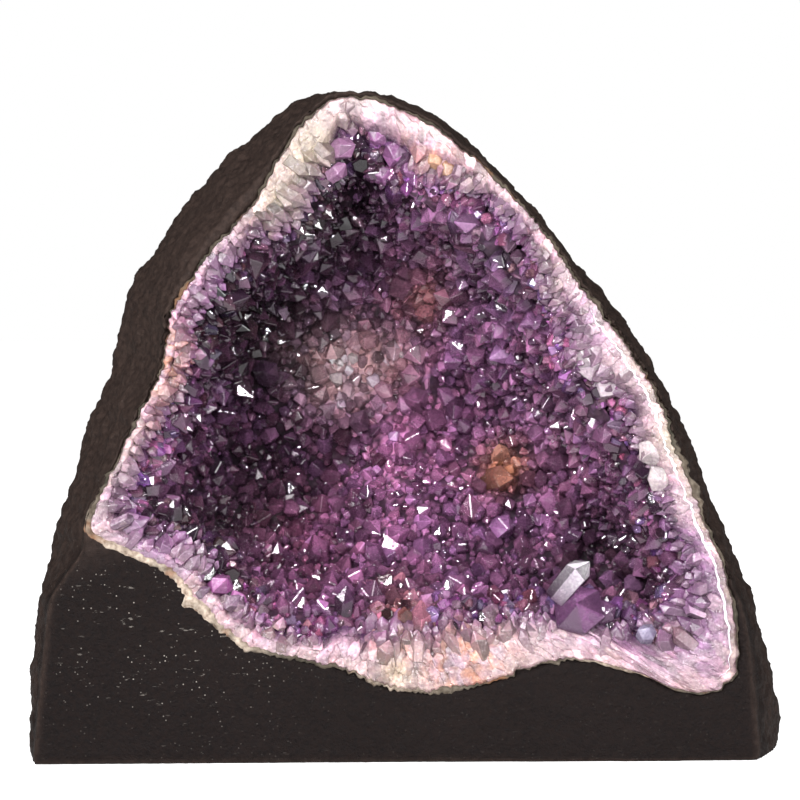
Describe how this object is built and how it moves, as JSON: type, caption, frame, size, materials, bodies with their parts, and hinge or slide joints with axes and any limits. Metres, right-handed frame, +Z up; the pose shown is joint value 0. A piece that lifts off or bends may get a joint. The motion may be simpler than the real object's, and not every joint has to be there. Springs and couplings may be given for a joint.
{
  "type": "amethyst geode",
  "caption": "Upright amethyst geode on a flat sawn base, with a dark painted rock shell, a polished pale quartz rim and a deep cavity lined with purple crystals.",
  "frame": {"origin": "middle of the bounding box, on the flat base that the geode stands on", "axes": "+Z up, +X along the width towards the right flank as seen from the opening, +Y from the sawn opening towards the back"},
  "size_m": [0.222, 0.112, 0.1905],
  "materials": {
    "painted_rock": "matt black-brown paint over rough rock",
    "crust": "rough grey-green mineral crust",
    "quartz": "sawn and polished, pale lavender and milky",
    "amethyst": "glossy translucent crystal faces",
    "amethyst_crystal": "glossy translucent purple crystal",
    "milky_crystal": "glossy milky lavender crystal",
    "stained_crystal": "glossy crystal with iron stain",
    "clear_crystal": "glossy colourless crystal"
  },
  "bodies": {
    "root": {"painted_basalt_shell": "painted_rock", "celadonite_crust": "crust", "quartz_rim_band": "quartz", "amethyst_druse": "amethyst", "crystal_square_left": "amethyst_crystal", "crystal_twin_left": "amethyst_crystal", "crystal_upper_left": "amethyst_crystal", "crystal_apex": "amethyst_crystal", "crystal_apex_small": "amethyst_crystal", "crystal_iron_stained": "stained_crystal", "crystal_milky_upper": "milky_crystal", "crystal_milky_right": "milky_crystal", "crystal_right": "amethyst_crystal", "crystal_lower_right": "amethyst_crystal", "crystal_lavender": "milky_crystal", "crystal_big_purple": "amethyst_crystal", "crystal_clear_point": "clear_crystal", "crystal_bottom": "amethyst_crystal", "crystal_bottom_right": "amethyst_crystal"}
  },
  "joints": []
}
